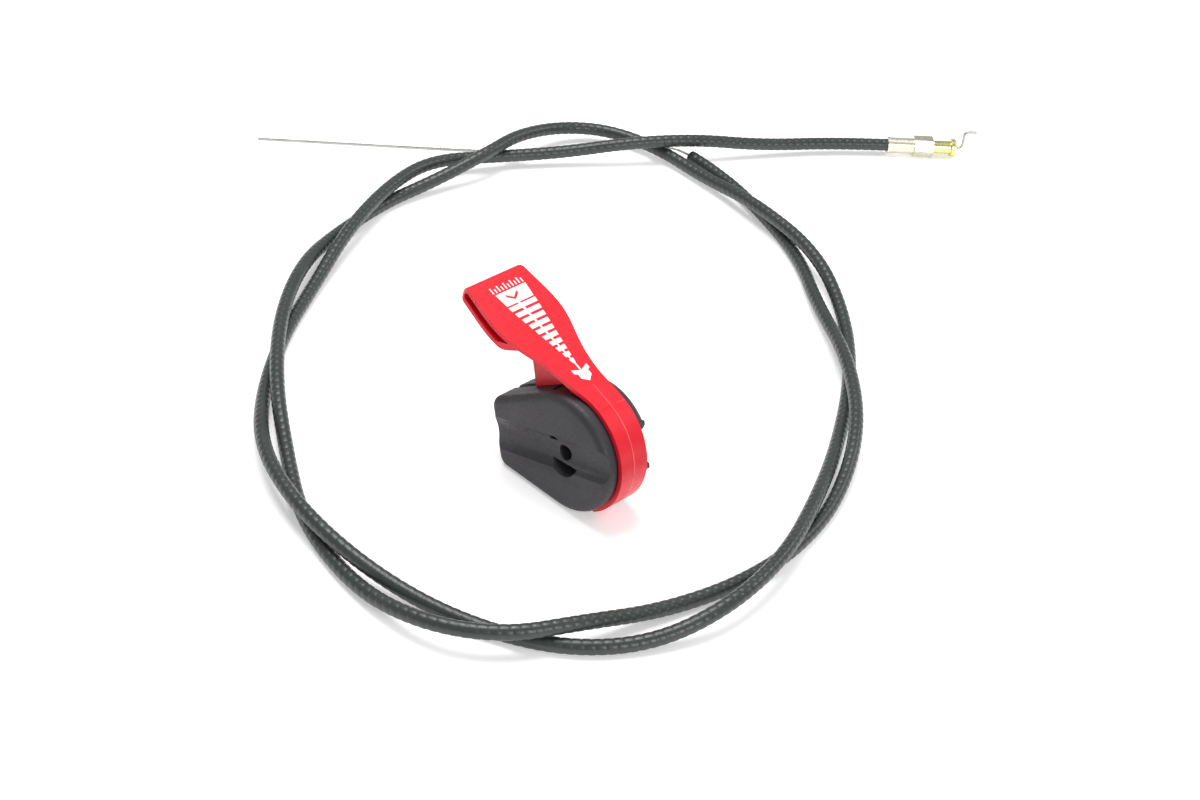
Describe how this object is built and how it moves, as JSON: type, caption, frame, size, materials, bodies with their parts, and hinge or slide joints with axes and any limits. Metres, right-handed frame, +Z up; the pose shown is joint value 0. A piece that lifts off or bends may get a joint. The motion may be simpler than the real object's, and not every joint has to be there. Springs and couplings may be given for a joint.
{
  "type": "throttle lever control with cable",
  "caption": "Handlebar throttle lever: red paddle lever turning round a dark split housing with a tube groove, beside a loose Bowden cable with crimped end fitting and hooked wire.",
  "frame": {"origin": "centre of the control's footprint (lever and housing, without the cable), on the floor it stands on", "axes": "+Z up, +Y along the pivot bolt from the tube groove side to the back cover, +X towards the round end of the housing"},
  "size_m": [0.3811, 0.4535, 0.0726],
  "materials": {
    "black_plastic": "fine matte texture",
    "red_plastic": "semi-gloss moulded",
    "white_acetal": "smooth",
    "bright_steel": "zinc plated",
    "spring_steel": "rolled sheet",
    "jacket_plastic": "extruded, faintly ribbed",
    "wire_steel": "drawn wire",
    "zinc_plate": "pale zinc plate",
    "yellow_zinc": "yellow passivated zinc"
  },
  "bodies": {
    "control_and_cable": {"saddle_housing": "black_plastic", "rear_cover": "black_plastic", "pivot_sleeve": "bright_steel", "front_friction_washer": "white_acetal", "rear_friction_washer": "white_acetal", "backing_washer": "bright_steel", "wave_washer": "bright_steel", "cover_screws": "bright_steel", "conduit_clip": "spring_steel", "conduit_jacket": "jacket_plastic", "conduit_winding": "bright_steel", "wire_core": "wire_steel", "wire_tail": "wire_steel", "conduit_ferrule": "zinc_plate", "conduit_nipple": "yellow_zinc"},
    "lever": {"throttle_lever": "red_plastic"},
    "inner_wire": {"wire_hook": "wire_steel"}
  },
  "joints": [
    {"name": "lever_pivot", "type": "hinge", "parent": "control_and_cable", "child": "lever", "pos_m": [0.0155, 0.002, 0.0246], "axis": [0, -1, 0], "range_deg": [-30, 21]},
    {"name": "inner_wire_slide", "type": "slide", "parent": "control_and_cable", "child": "inner_wire", "axis": [0.648, 0.7616, 0], "range_m": [0, 0.018]}
  ]
}
